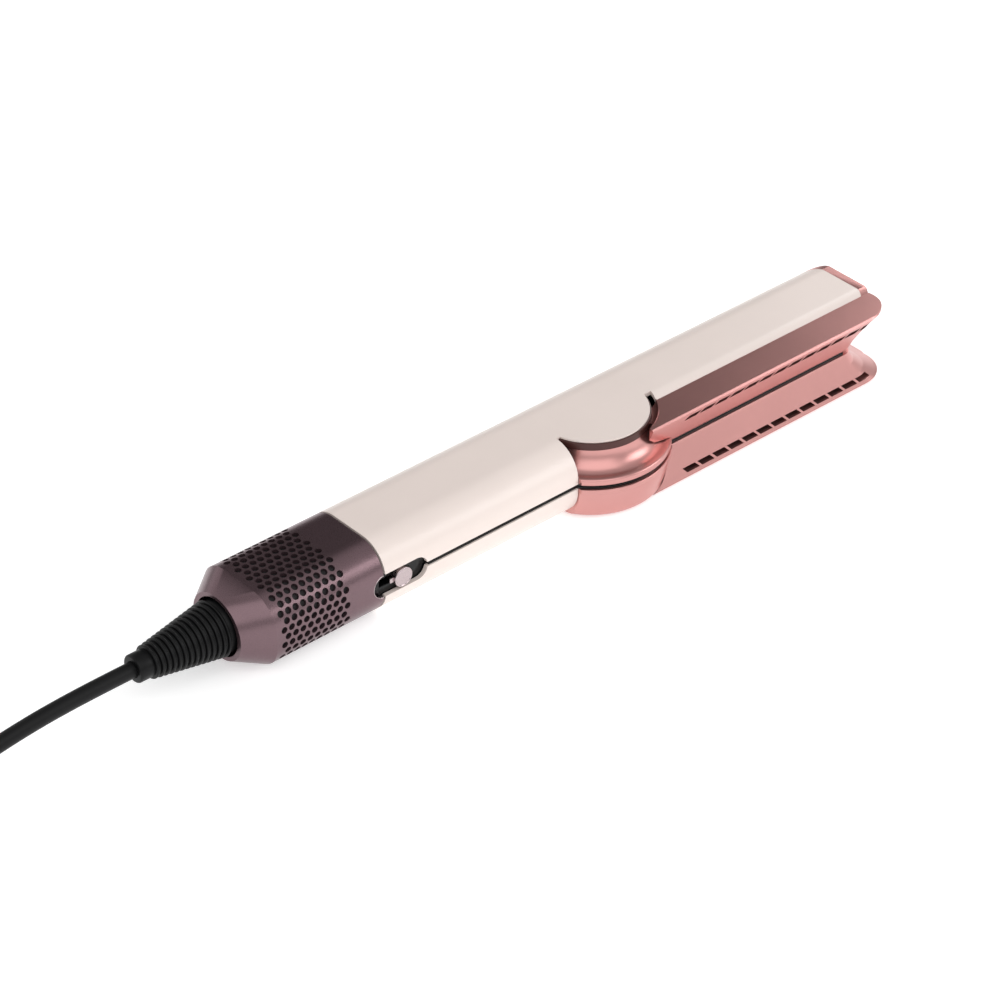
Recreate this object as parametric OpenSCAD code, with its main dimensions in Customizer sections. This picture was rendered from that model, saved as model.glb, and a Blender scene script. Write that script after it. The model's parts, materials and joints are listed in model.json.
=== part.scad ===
// Air straightener of the flat iron family: a perforated intake cage, a tapering cord boot and two
// arms that open like tongs and blow air through slots along one side.
// X runs along the tool towards its tip, Z is up, and the slotted side of the arms faces -Y.

/* [Handle] */
// Width of the handle's rounded section
body_w = 41.4; // [36:0.2:50]
// Height of the handle, both arms closed
body_h = 30.4; // [27:0.2:38]
// Corner radius of the handle's section
corner_r = 12.4; // [9:0.2:12.6]
// Wall of the moulded shells
wall = 1.8; // [1.2:0.1:2.2]
// Length of the plain handle, from the cage to the drum
handle_l = 93.5; // [84:0.5:120]
// Gap along the split between the two arms
split_gap = 2; // [1.6:0.1:2.4]
// Seam between the cage and the arms
seam = 0.9; // [0.9:0.1:1.4]

/* [Arms] */
// Length of the slotted arms, from the drum's near side to the tip
arm_l = 161.9; // [140:0.5:200]
// Distance from the middle plane to the wing's lip
lip_out = 28.3; // [26:0.1:34]
// Distance from the middle plane to the root of the groove
groove_out = 22.7; // [21:0.1:26]
// Distance from the middle plane to the shell's front edge along the arms
shell_edge = 13.2; // [12:0.1:15]
// How far the tip's foot lies behind its lip
end_flare = 18; // [12:0.5:20]
// Wall of the wing ducts
duct_wall = 1.4; // [1:0.1:2]
// Number of air slots in each arm
slot_n = 13; // [8:1:16]
// Length of one air slot
slot_l = 6.5; // [4:0.1:6.6]
// Width of one air slot, across the groove face
slot_w = 2.1; // [1.5:0.1:3.2]
// Distance between neighbouring slots
slot_pitch = 7.75; // [7.4:0.05:8.4]
// How far each arm opens, in degrees
open_angle = 5.5; // [3:0.5:5.5]

/* [Drum] */
// Radius of the drum at its rim
drum_r = 30.8; // [29:0.1:34]
// Radius of the flat cap on top of the drum
cap_r = 22.3; // [20:0.1:24]
// Wall of the drum
drum_wall = 1.6; // [1.2:0.1:2.2]
// Distance from the handle's front end to the drum's axis
drum_run = 23.1; // [22:0.1:26]

/* [Cage] */
// Length of the perforated cage, without its cone
cage_l = 48.7; // [44:0.1:60]
// Length of the cone behind the cage
cone_l = 10.4; // [8:0.1:14]
// Wall of the cage
cage_wall = 1.3; // [1:0.1:1.8]
// Diameter of one intake hole
hole_d = 2.6; // [1.6:0.1:2.7]
// Distance between neighbouring intake holes along the cage
hole_pitch = 3.34; // [3.2:0.02:3.7]
// Number of hole columns along the cage
hole_cols = 9; // [6:1:9]
// Number of hole rows around the cage, an even number
hole_rows = 38; // [30:2:38]

/* [Drive] */
// Outer radius of the motor housing
motor_r = 11.6; // [10:0.1:12]
// Length of the motor housing
motor_l = 30; // [26:0.5:32]
// Radius of the motor shaft
shaft_r = 1.5; // [1.2:0.1:2]
// Radius of the impeller
impeller_r = 9.2; // [7.5:0.1:9.4]
// Radial clearance of a running fit
run_clear = 0.05; // [0.02:0.01:0.09]

/* [Hinge and lock] */
// Radius of the hinge pins
pin_r = 1.5; // [1.2:0.1:1.8]
// Height of each hinge pin above or below the split
pin_z = 9; // [8:0.1:9.4]
// Radius of the lugs around the hinge pins
lug_r = 3; // [2.6:0.1:3.2]
// Half height of the oblong lock window
window_r = 4.8; // [4.2:0.1:5]
// Length of the lock window
window_l = 25; // [22:0.1:27]
// Radius of the lock knob
knob_r = 4; // [3:0.1:4.2]
// Travel of the lock knob
lock_travel = 7; // [4:0.5:7.5]

/* [Controls] */
// Radius of a push button
button_r = 3.9; // [3:0.1:4.4]
// Distance between neighbouring buttons
button_pitch = 12; // [10.5:0.1:14]
// Depth of the control pocket in the lower shell
pocket_d = 0.8; // [0.6:0.1:1]
// Travel of a push button
button_travel = 0.6; // [0.4:0.1:0.7]

/* [Cord] */
// Diameter of the power cord
cord_d = 6.2; // [6:0.1:6.4]
// Length of the cord boot outside the cone
boot_l = 36.9; // [32:0.2:46]
// Radius of the cord boot at the cone
boot_r = 11.3; // [9.5:0.1:11.6]
// Radius of the cord boot at its free end
boot_end_r = 5.4; // [4.6:0.1:6.5]
// Number of rings on the boot
boot_rings = 14; // [10:1:16]

/* [Hidden] */
half_w = body_w / 2;
half_h = body_h / 2;
flat_w = half_w - corner_r;
half_gap = split_gap / 2;
fit_gap = 0.15;
drum_x = handle_l + drum_run;
drum_y = -1.8;
tip_x = handle_l + arm_l;
rim_l = 3.7;
cap_t = 1;
trim_h = 1.4;
collar_r = cap_r + 3.3;
cut_big = 200;
hinge_x = 4;
window_x = -4.6;
knob_x = 9;
cheek = 9.2;
lug_t = 3;
cone_end = -cage_l - cone_l;
boot_end = cone_end - boot_l;
boot_seat = 4;
motor_x = -44;
bearing_r = 3;
bearing_l = 2.5;
rear_bearing_x = motor_x + 11;
front_bearing_x = motor_x + motor_l - 3;
magnet_r = 4.2;
magnet_l = motor_l - 19.5;
magnet_x = motor_x + 15;
frame_w = 34;
frame_h = 24.4;
rail_y = 14.8;
rail_r = 1.9;
screw_y = 12;
screw_z = 7.2;
screw_r = 1.1;
spring_l = 6;
spring_t = 0.9;
board_w = 13.6;
board_t = 1.6;
board_z = -5.4;
bezel_face = -(half_w - wall - 0.5);
slot_z = 11.9;
slot_x0 = drum_x + 28.9;
slot_slant = 2;
control_x = 44;
frame_x = (tip_x + boot_end) / 2;
frame_y = (half_w + drum_y - drum_r) / 2;

// Route of the free cord's centre line, from the boot to the hank, as set on the table
cord_route = [
    [-96, 0, 0], [-106, 0, 0], [-116, 0, -0.1], [-126, 0, -0.4], [-136, 0, -1], [-146, 0, -2],
    [-156, 0.2, -3.5], [-166, 1, -5.4], [-176, 2.6, -7.5], [-186, 5, -9.5], [-196, 8, -11.1],
    [-206, 11.2, -12], [-216, 14.2, -12.1], [-226, 16.5, -12.1], [-233, 17.4, -12.1]
];
// Route of the cord's tail, from the top of the hank round to the plug that lies on it
tail_route = [
    [-280, -44.8, -1.2], [-270, -44.8, -0.4], [-258, -44.8, 0.2], [-245, -44.8, 0.3], [-236, -43.4, 0.3],
    [-228, -39, 0.3], [-221.5, -32, 0.3], [-217.5, -23, 0.3], [-217, -13.4, 0.3], [-219.5, -4.5, 0.3],
    [-225.5, 2, 0.3], [-234, 5.6, 0.3], [-244, 6.2, 0.3], [-254, 4.2, 0.3], [-264, 0.2, 0.3],
    [-274, -4.8, 0.4], [-284, -9.4, 1], [-294, -12.4, 2.4], [-304, -13.4, 4.4], [-312, -13.4, 5.8],
    [-320, -13.4, 6.2]
];
hank_x0 = -245;
hank_y = -13.4;
hank_run = 110;
hank_turns = 3;
hank_layers = 2;
hank_step = 6.4;
fold_r = 18.6;
hank_out = fold_r + hank_step * (hank_turns - 1) + cord_d / 2;
hank_h = hank_layers * cord_d;
tie_l = 12;
tie_t = 1.2;
tie_gap = 0.1;
table_z = -half_h;
plug_x = -320;
plug_r = 9;
plug_l = 38;
plug_z = table_z + hank_h + plug_r;
prong_r = 2;
prong_l = 19;
prong_seat = 5;
prong_y = 5;

// ---- shared shapes ----

// Moves a piece from the seam's centre to the row's own origin, under the middle of the tool
module place() translate([-frame_x, -frame_y, half_h]) children();

// A flat outline in Y and Z, drawn out along X
module along_x(x0, len) translate([x0, 0, 0]) rotate([90, 0, 90]) linear_extrude(len) children();

// A rounded rectangle with true round corners
module rounded(w, h, r) {
    square([w - 2 * r, h], center = true);
    square([w, h - 2 * r], center = true);
    for (sx = [-1, 1], sy = [-1, 1]) translate([sx * (w / 2 - r), sy * (h / 2 - r)]) circle(r, $fn = 64);
}

// The handle's section, drawn in by some distance
module section(inset = 0) rounded(body_w - 2 * inset, body_h - 2 * inset, corner_r - inset);

// Height of the handle's section over a distance from its middle
function section_z(y) = half_h - corner_r + sqrt(corner_r * corner_r - pow(max(0, abs(y) - flat_w), 2));

// Keeps the upper side for 1 and turns it over for -1
module on_side(side) mirror([0, 0, side < 0 ? 1 : 0]) children();

// A block between two opposite corners
module block(a, b) translate(a) cube(b - a);

// A round bar along X or Y
module bar_x(x0, x1, r) translate([x0, 0, 0]) rotate([0, 90, 0]) cylinder(r = r, h = x1 - x0, $fn = 64);
module bar_y(y0, y1, r) translate([0, y0, 0]) rotate([-90, 0, 0]) cylinder(r = r, h = y1 - y0, $fn = 48);

// A tube along X
module tube_x(x0, x1, r_out, r_in) difference() {
    bar_x(x0, x1, r_out);
    bar_x(x0 - 1, x1 + 1, r_in);
}

// ---- base: frame, drive and hinge ----

module chassis() color("dimgray") place() difference() {
    union() {
        block([-1, -cheek, -frame_h / 2], [22, cheek, frame_h / 2]);
        along_x(-8, 7) rounded(frame_w, frame_h, 9);
    }
    along_x(-9, 32) rounded(2 * cheek - 4, 20, 3);
    for (side = [-1, 1]) translate([hinge_x, 0, side * pin_z]) {
        bar_y(-20, 20, pin_r + run_clear);
        bar_y(-spring_l / 2 - 0.2, spring_l / 2 + 0.2, pin_r + spring_t + 0.2);
    }
    block([-1, -cheek - 1, -6], [23, -cheek + 3, 6]);
    block([window_x - 1, -half_w, -window_r - 0.7], [23, -cheek, window_r + 0.7]);
    for (sy = [-1, 1]) translate([0, sy * screw_y, screw_z]) bar_x(-9, 0, screw_r + run_clear);
}

module chassis_ring() color("gray") place() difference() {
    along_x(-12, 4) rounded(frame_w + 1, frame_h + 1, 9.5);
    along_x(-13, 6) rounded(26, 20, 6);
    rail_pair(-13, -7, 1.2);
}

// Two rails beside the motor
module rail_pair(x0, x1, r) for (sy = [-1, 1]) translate([0, sy * rail_y, 0]) bar_x(x0, x1, r);

module rear_bulkhead() color("gray") place() difference() {
    union() {
        along_x(-cage_l + 0.5, 3) rounded(frame_w, frame_h + 1, 9.5);
        rail_pair(-cage_l + 3, -12.1, rail_r);
        rail_pair(-13, -8.1, 1.1);
    }
    bar_x(-cage_l, -cage_l + 5, 5.2);
}

module motor_housing() color("silver") place() difference() {
    union() {
        tube_x(motor_x, motor_x + motor_l, motor_r, motor_r - 1);
        for (x = [rear_bearing_x, front_bearing_x]) {
            tube_x(x, x + bearing_l, bearing_r + 1.4, bearing_r);
            for (a = [0:60:300]) rotate([a, 0, 0])
                block([x, -0.6, bearing_r + 0.4], [x + bearing_l, 0.6, motor_r - 0.5]);
        }
    }
    bar_x(rear_bearing_x - 1, front_bearing_x + 4, bearing_r);
}

module motor_grommets() color([0.12, 0.12, 0.12]) place() for (x = [motor_x + 4, motor_x + 22])
    difference() {
        tube_x(x, x + 4, motor_r + 1, motor_r);
        rail_pair(x - 1, x + 5, rail_r + 0.1);
    }

module motor_stator() color([0.72, 0.45, 0.2]) place() difference() {
    tube_x(magnet_x, magnet_x + magnet_l, motor_r - 1.1, magnet_r + 0.4);
    for (a = [30:60:330]) rotate([a, 0, 0])
        block([magnet_x - 1, -1, magnet_r + 1.4], [magnet_x + magnet_l + 1, 1, motor_r - 2.6]);
}

module bearing(x) tube_x(x, x + bearing_l, bearing_r - run_clear, shaft_r + run_clear);
module front_bearing() color("lightsteelblue") place() bearing(front_bearing_x);
module rear_bearing() color("lightsteelblue") place() bearing(rear_bearing_x);

module motor_shaft() color("lightgray") place() bar_x(motor_x + 2, motor_x + motor_l - 0.1, shaft_r);
module motor_magnet() color("darkslategray") place()
    tube_x(magnet_x, magnet_x + magnet_l, magnet_r, shaft_r + 0.01);

module impeller() color("gainsboro") place() difference() {
    union() {
        translate([motor_x + 3, 0, 0]) rotate([0, 90, 0]) rotate_extrude($fn = 64)
            polygon([[0, 0], [2.6, 0], [3.6, 3], [impeller_r - 0.4, 6], [impeller_r - 0.4, 7], [0, 7]]);
        for (a = [0:40:320]) rotate([a, 0, 0]) translate([motor_x + 3.4, 0, 0]) rotate([0, 0, 24])
            block([0, -0.4, 2], [6, 0.4, impeller_r - 0.6]);
    }
    bar_x(motor_x + 1, motor_x + 12, shaft_r + 0.01);
    tube_x(motor_x, motor_x + 12, impeller_r + 6, impeller_r);
    bar_x(motor_x + 10.2, motor_x + 14, impeller_r + 1);
}

module driver_board() color("darkgreen") place() difference() {
    block([-7.2, -board_w / 2, board_z], [20.5, board_w / 2, board_z + board_t]);
    for (x = [-5, 18]) translate([x, 0, board_z - 1]) cylinder(r = 1, h = board_t + 2, $fn = 24);
}

module hinge_pins() color("silver") place() for (side = [-1, 1])
    translate([hinge_x, 0, side * pin_z]) bar_y(-cheek - lug_t - 0.6, cheek + lug_t + 0.6, pin_r);

module arm_springs() color("darkgray") place() for (side = [-1, 1])
    translate([hinge_x, 0, side * pin_z]) difference() {
        bar_y(-spring_l / 2, spring_l / 2, pin_r + spring_t);
        bar_y(-spring_l, spring_l, pin_r + run_clear);
    }

// The black pocket behind the lock window, with a slot that guides the lock slider
module lock_bezel() color([0.07, 0.07, 0.07]) place() difference() {
    block([window_x - 0.8, bezel_face, -window_r - 0.5],
        [window_x + window_l + 0.8, -cheek - 0.1, window_r + 0.5]);
    block([window_x + 0.4, bezel_face + 2.2, -2.6], [window_x + window_l - 0.6, -cheek + 1, 2.6]);
    block([knob_x - lock_travel - 2.4, bezel_face - 1, -1.6], [knob_x + 4.4, -cheek, 1.6]);
}

module lock_slider() color("silver") place() {
    block([knob_x - 3.6, bezel_face + 2.4, -2.4], [knob_x + 4, bezel_face + 4.6, 2.4]);
    block([knob_x - 1.8, bezel_face - 0.4, -1.4], [knob_x + 1.8, bezel_face + 2.4, 1.4]);
}

module lock_knob() color("silver") place() {
    translate([knob_x, 0, 0]) bar_y(-half_w - 0.6, bezel_face - 0.4, knob_r);
    block([knob_x - knob_r - 1.6, bezel_face - 1.6, -1], [knob_x - knob_r + 1, bezel_face - 0.4, 1]);
}

module chassis_screws() color("silver") place() for (sy = [-1, 1])
    translate([0, sy * screw_y, screw_z]) bar_x(-7.9, -1.2, screw_r);

// ---- cord, boot and plug ----

function boot_at(x) = boot_end_r + (boot_r - boot_end_r) * x / boot_l;

module cord_boot() color([0.08, 0.08, 0.08]) place() difference() {
    translate([boot_end, 0, 0]) rotate([0, 90, 0]) rotate_extrude($fn = 64) {
        polygon([[0, 0], [boot_end_r - 0.5, 0], [boot_end_r, 0.5], [boot_end_r, 5.4], [boot_end_r - 0.8, 5.8],
            [boot_at(boot_l) - 1, boot_l], [boot_r - 1, boot_l + boot_seat], [0, boot_l + boot_seat]]);
        for (i = [0:boot_rings - 1]) let(x = 6.2 + i * (boot_l - 6.6) / boot_rings)
            translate([0, x]) square([boot_at(x + 0.8), (boot_l - 6.6) / boot_rings * 0.55]);
    }
    bar_x(boot_end - 1, boot_end + boot_l + boot_seat + 1, cord_d / 2 - 0.6);
}

module cord_clamp() color("dimgray") place() difference() {
    tube_x(cone_end + boot_seat + 0.2, -cage_l + 0.4, 9, 3.4);
    for (a = [0, 90]) rotate([a, 0, 0]) block([cone_end + boot_seat, 6, -1], [-cage_l + 1, 12, 1]);
}

// A tube that follows a list of points, with its ring across the way from one point to the next
function unit(v) = v / norm(v);
function ways(p) = [for (i = [0:len(p) - 1]) unit(p[min(i + 1, len(p) - 1)] - p[max(i - 1, 0)])];
function ring(c, way, r, sides) = let(side = unit(cross([0, 0, 1], way)), up = cross(way, side))
    [for (j = [0:sides - 1]) c + r * (cos(360 * j / sides) * side + sin(360 * j / sides) * up)];
module tube_along(p, r, sides = 12) {
    w = ways(p);
    rings = [for (i = [0:len(p) - 1]) each ring(p[i], w[i], r, sides)];
    walls = [for (i = [0:len(p) - 2], j = [0:sides - 1])
        let(a = i * sides + j, b = i * sides + (j + 1) % sides) [a, a + sides, b + sides, b]];
    near = [for (j = [0:sides - 1]) j];
    far = [for (j = [sides - 1:-1:0]) (len(p) - 1) * sides + j];
    polyhedron(rings, concat(walls, [near, far]));
}

module power_cord() color([0.1, 0.1, 0.1]) place() tube_along(cord_route, cord_d / 2);
module cord_tail() color([0.1, 0.1, 0.1]) place() tube_along(tail_route, cord_d / 2);

// The outer shape of the folded cord: an outline with round ends
module cord_hank() color([0.1, 0.1, 0.1]) place()
    translate([hank_x0, hank_y, table_z]) linear_extrude(hank_h) {
        translate([-hank_run, -hank_out]) square([hank_run, 2 * hank_out]);
        for (x = [0, -hank_run]) translate([x, 0]) circle(hank_out, $fn = 96);
    }

// A strap round the hank's middle
module cord_tie() color([0.15, 0.15, 0.15]) place()
    translate([hank_x0 - hank_run / 2, hank_y, table_z]) difference() {
        block([-tie_l / 2, -hank_out - tie_t, 0], [tie_l / 2, hank_out + tie_t, hank_h + tie_t]);
        block([-tie_l, -hank_out - tie_gap, -1], [tie_l, hank_out + tie_gap, hank_h + tie_gap]);
    }

module prong_pair(x0, x1) for (sy = [-1, 1]) translate([0, sy * prong_y, 0]) bar_x(x0, x1, prong_r);

module plug_body() color([0.08, 0.08, 0.08]) place() translate([0, hank_y, plug_z]) difference() {
    bar_x(plug_x - plug_l, plug_x, plug_r);
    prong_pair(plug_x - plug_l - 1, plug_x - plug_l + prong_seat);
}

module plug_pins() color("silver") place() translate([0, hank_y, plug_z])
    prong_pair(plug_x - plug_l - prong_l, plug_x - plug_l + prong_seat);

// ---- cage ----

quarter = flat_w + corner_r * PI / 2 + half_h - corner_r;
// A point of the section's first quarter, from the middle of the top, with its outward angle
function quarter_at(t) = t < flat_w ? [t, half_h, 90]
    : t < flat_w + corner_r * PI / 2
        ? let(a = (t - flat_w) / corner_r * 180 / PI)
            [flat_w + corner_r * sin(a), half_h - corner_r + corner_r * cos(a), 90 - a]
        : [half_w, quarter - t, 0];
function section_at(s) = let(k = floor(s / quarter), u = s - k * quarter,
        q = quarter_at(k % 2 == 0 ? u : quarter - u), sy = k < 2 ? 1 : -1, sz = k == 0 || k == 3 ? 1 : -1)
    [sy * q[0], sz * q[1], atan2(sz * sin(q[2]), sy * cos(q[2]))];

module window_cut(x) translate([x, 0, 0]) rotate([90, 0, 0]) linear_extrude(cut_big) {
    translate([window_r, -window_r]) square([window_l - 2 * window_r, 2 * window_r]);
    for (c = [window_r, window_l - window_r]) translate([c, 0]) circle(window_r, $fn = 48);
}

module intake_cage() color([0.4, 0.32, 0.34]) place() difference() {
    union() {
        along_x(-cage_l, cage_l) section();
        hull() {
            along_x(-cage_l - 0.01, 0.01) section();
            along_x(cone_end, 0.5) rounded(2 * boot_r + 4.6, 2 * boot_r + 3.4, boot_r + 1.6);
        }
    }
    along_x(-cage_l, cage_l + 1) section(cage_wall);
    hull() {
        along_x(-cage_l - 0.02, 0.03) section(cage_wall);
        along_x(cone_end + 2.2, 0.1) rounded(2 * boot_r + 2.4, 2 * boot_r + 1.4, boot_r + 0.6);
    }
    bar_x(cone_end - 1, cone_end + 8, boot_r + 0.4);
    for (k = [0:hole_rows - 1]) let(p = section_at((k + 0.5) * 4 * quarter / hole_rows))
        for (i = [0:hole_cols - 1])
            translate([-cage_l + 5.2 - (k % 2) * hole_pitch / 2 + i * hole_pitch, p[0], p[1]])
                rotate([p[2] - 90, 0, 0]) translate([0, 0, -3]) cylinder(d = hole_d, h = 6, $fn = 24);
    window_cut(window_x);
}

module filter_sleeve() color([0.35, 0.33, 0.33]) place() difference() {
    along_x(-cage_l + 1, cage_l - 10) section(cage_wall + 0.1);
    along_x(-cage_l, cage_l) section(cage_wall + 0.7);
}

// ---- arms ----

// Half of a section, on the upper side of the split
module upper_half(x0, len) along_x(x0, len) intersection() {
    children();
    translate([-cut_big / 2, half_gap]) square([cut_big, cut_big]);
}

module plan_cut(x0, x1, y0, y1) block([x0, y0, -cut_big], [x1, y1, cut_big]);

module arm_shell() difference() {
    union() {
        difference() {
            upper_half(seam, tip_x - rim_l - seam) difference() {
                section();
                section(wall);
            }
            plan_cut(drum_x, tip_x + 1, -cut_big, -shell_edge);
            beyond_tip(rim_l + fit_gap);
            intersection() {
                translate([drum_x, drum_y, 0]) cylinder(r = drum_r + 2, h = cut_big, $fn = 96);
                plan_cut(handle_l, drum_x + collar_r, -cut_big, -flat_w);
                union() {
                    translate([drum_x, drum_y, 0]) cylinder(r = collar_r, h = cut_big, $fn = 96);
                    plan_cut(handle_l, drum_x, -cut_big, -flat_w);
                    plan_cut(drum_x, drum_x + collar_r, -cut_big, -shell_edge);
                }
            }
        }
        children();
    }
    window_cut(window_x);
}

module upper_shell() color([0.92, 0.87, 0.83]) place() arm_shell()
    intersection() {
        translate([drum_x, drum_y, half_h - cap_t]) cylinder(r = cap_r, h = cap_t, $fn = 96);
        plan_cut(0, tip_x, -cut_big, -flat_w + 1);
    }

module lower_shell() color([0.92, 0.87, 0.83]) place() on_side(-1) difference() {
    arm_shell();
    block([control_x - 26, -7.5, half_h - pocket_d], [control_x + 2 * button_pitch + 7, 7.5, half_h + 1]);
    for (i = [0:2]) translate([control_x + i * button_pitch, 0, 0])
        cylinder(r = button_r + 0.1, h = cut_big, $fn = 48);
    block([control_x - 24, -5.5, half_h - wall - 1], [control_x - 7, 5.5, half_h]);
}

// The wing's outline: top face, lip, slotted groove face and floor
wing_back = shell_edge + fit_gap;
wing_top = section_z(shell_edge) + 0.1;
lip_z = half_h - 0.1;
module wing_outline(t) polygon([
    [-wing_back - t, half_gap + t], [-wing_back - t, wing_top - 1.1 * t],
    [-lip_out + 0.6 + 1.3 * t, lip_z - 1.1 * t], [-lip_out - 0.1 + 1.4 * t, lip_z - 0.6 - t],
    [-lip_out + 0.2 + 1.2 * t, lip_z - 1.4 - 0.7 * t],
    [-groove_out - 0.1 + 0.9 * t, half_gap + 0.6 + 0.5 * t],
    [-groove_out + 0.2 + 0.8 * t, half_gap + t]]);

// The flared tip: how far the end and the groove face reach at a height
tip_r = lip_out - shell_edge;
foot_r = 5;
function rise(z) = (z - half_gap) / (lip_z - half_gap);
function end_at(z) = tip_x - end_flare * (1 - pow(rise(z), 1.5));
function side_at(z) = z < half_gap + 0.6 ? groove_out - 0.2
    : z > lip_z - 0.3 ? lip_out - 0.6
    : groove_out + 0.1 + (lip_out - groove_out) * (z - half_gap - 0.6) / (lip_z - half_gap - 1.2);
tip_levels = [half_gap, half_gap + 0.6, 5.2, 9.6, lip_z - 1.4, lip_z - 0.6, lip_z];

// The wing's plan at a height, with a round corner at the tip
module wing_plan(z) {
    r = foot_r + (tip_r - foot_r) * rise(z);
    x = end_at(z);
    y = side_at(z);
    translate([0, -y]) square([x - r, y + half_w]);
    translate([0, r - y]) square([x, y - r + half_w]);
    translate([x - r, r - y]) circle(r, $fn = 48);
}
module flared_arm() for (i = [0:len(tip_levels) - 2]) hull() {
    translate([0, 0, tip_levels[i]]) linear_extrude(0.01) wing_plan(tip_levels[i]);
    translate([0, 0, tip_levels[i + 1] - 0.01]) linear_extrude(0.01) wing_plan(tip_levels[i + 1]);
}

// Everything past the flared end, drawn in by some distance
module beyond_tip(inset) translate([0, cut_big, 0]) rotate([90, 0, 0]) linear_extrude(cut_big * 2)
    polygon([[tip_x * 2, -1], [end_at(half_gap) - inset, -1],
        for (z = tip_levels) [end_at(z) - inset, z], [tip_x - inset, cut_big], [tip_x * 2, cut_big]]);

// Profile of a drum: cove and rim above the split, plain wall below it
function upper_profile(c) = [[0, -1], [drum_r - 0.3 + c, half_gap - 1], [drum_r - 0.3 + c, half_gap],
    [drum_r + c, half_gap + 0.4], [drum_r - 0.6 + c, half_gap + 2.4], [drum_r - 1.2 + c, half_gap + 2.9],
    [drum_r - 3.2 + c, half_gap + 3.7], [drum_r - 5.2 + c, half_gap + 5], [drum_r - 6.8 + c, half_gap + 6.8],
    [drum_r - 7.8 + c, half_gap + 9.2], [cap_r + 0.2 + c, half_h - cap_t - trim_h - 0.8],
    [cap_r - 0.2 + c, half_h - cap_t - trim_h], [0, half_h - cap_t - trim_h]];
function lower_profile(c) = [[0, -1], [drum_r - 0.4 + c, half_gap - 1], [drum_r - 0.4 + c, half_gap],
    [drum_r + c, half_gap + 0.4], [drum_r + c, half_gap + 1.5], [drum_r - 0.7 + c, half_gap + 2.1],
    [drum_r - 1.9 + c, half_h - 3], [drum_r - 2.6 + c, half_h - 1.1], [drum_r - 3.8 + c, half_h],
    [0, half_h]];
module revolve(p) translate([drum_x, drum_y, 0]) rotate_extrude($fn = 96) polygon(p);

module drum(p, q, lid) difference() {
    intersection() {
        revolve(p);
        block([handle_l + fit_gap, -cut_big, half_gap], [drum_x + drum_r + 1, -flat_w - fit_gap, cut_big]);
    }
    difference() {
        revolve(q);
        block([0, -cut_big, lid], [cut_big * 2, cut_big, cut_big]);
    }
    plan_cut(drum_x + collar_r - 4, cut_big * 2, -wing_back, 0);
}

module upper_drum() color([0.83, 0.55, 0.52]) place()
    drum(upper_profile(0), upper_profile(-drum_wall), half_h - cap_t - trim_h - 1.2);

module lower_drum() color([0.83, 0.55, 0.52]) place() on_side(-1)
    drum(lower_profile(0), lower_profile(-drum_wall), half_h - 1.4);

// A wing with its flared tip: it ends on the drum's own profile, and a collar clears the cap
module wing(p, q, collar) {
    start = drum_x + 7.4;
    duct_end = tip_x - end_flare - 1.5;
    difference() {
        intersection() {
            flared_arm();
            union() {
                along_x(start, tip_x - start) polygon([[-wing_back, 0], [-wing_back, wing_top],
                    [-lip_out - 1, lip_z + 0.1], [-lip_out - 1, 0]]);
                along_x(tip_x - end_flare - 10, end_flare + 11) intersection() {
                    section();
                    translate([-wing_back - 0.5, 0]) square([cut_big, cut_big]);
                }
            }
        }
        difference() {
            block([0, -wing_back, 0], [tip_x, cut_big, cut_big]);
            beyond_tip(rim_l);
        }
        difference() {
            along_x(start, duct_end - start) wing_outline(duct_wall);
            translate([drum_x, drum_y, 0]) cylinder(r = collar + duct_wall, h = cut_big, $fn = 96);
            revolve(q);
        }
        translate([drum_x, drum_y, 5.6]) cylinder(r = collar, h = cut_big, $fn = 96);
        revolve(p);
        for (i = [0:slot_n - 1]) air_slot(slot_x0 + i * slot_pitch);
    }
}

// One slanted air slot through the groove face
module air_slot(x) translate([x, -cut_big / 4 - 20, slot_z]) rotate([90, 0, 0])
    translate([0, 0, -cut_big / 4 - 6]) linear_extrude(cut_big / 4 + 10)
        polygon([[-slot_l / 2 - slot_slant / 2, -slot_w / 2], [slot_l / 2 - slot_slant / 2, -slot_w / 2],
            [slot_l / 2 + slot_slant / 2, slot_w / 2], [-slot_l / 2 + slot_slant / 2, slot_w / 2]]);

module upper_wing() color([0.8, 0.5, 0.48]) place()
    wing(upper_profile(fit_gap), upper_profile(duct_wall + fit_gap), collar_r);
module lower_wing() color([0.8, 0.5, 0.48]) place() on_side(-1)
    wing(lower_profile(fit_gap), lower_profile(duct_wall + fit_gap), cap_r);

module upper_trim() color([0.28, 0.15, 0.13]) place() difference() {
    intersection() {
        translate([drum_x, drum_y, half_h - cap_t - trim_h + 0.02])
            cylinder(r = cap_r - 0.2, h = trim_h - 0.04, $fn = 96);
        plan_cut(handle_l + fit_gap, tip_x, -cut_big, -flat_w - fit_gap);
    }
    translate([drum_x, drum_y, 0]) cylinder(r = cap_r - 2.2, h = cut_big, $fn = 96);
}

// Two lugs on the hinge pin, with arms that carry the shell
module hinge_bracket() difference() {
    lug_y = cheek + 0.3;
    arm_end = 36;
    arm_h = 1.8;
    union() {
        for (sy = [-1, 1]) translate([0, sy * (lug_y + lug_t / 2), 0]) {
            translate([hinge_x, 0, pin_z]) bar_y(-lug_t / 2, lug_t / 2, lug_r);
            block([hinge_x, -lug_t / 2, pin_z - arm_h], [arm_end, lug_t / 2, pin_z + arm_h]);
        }
        block([arm_end - 11, -lug_y, pin_z - arm_h], [arm_end, lug_y, pin_z + arm_h]);
    }
    translate([hinge_x, 0, pin_z]) bar_y(-40, 40, pin_r + run_clear);
}
module upper_hinge() color("gray") place() hinge_bracket();
module lower_hinge() color("gray") place() on_side(-1) hinge_bracket();

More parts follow.
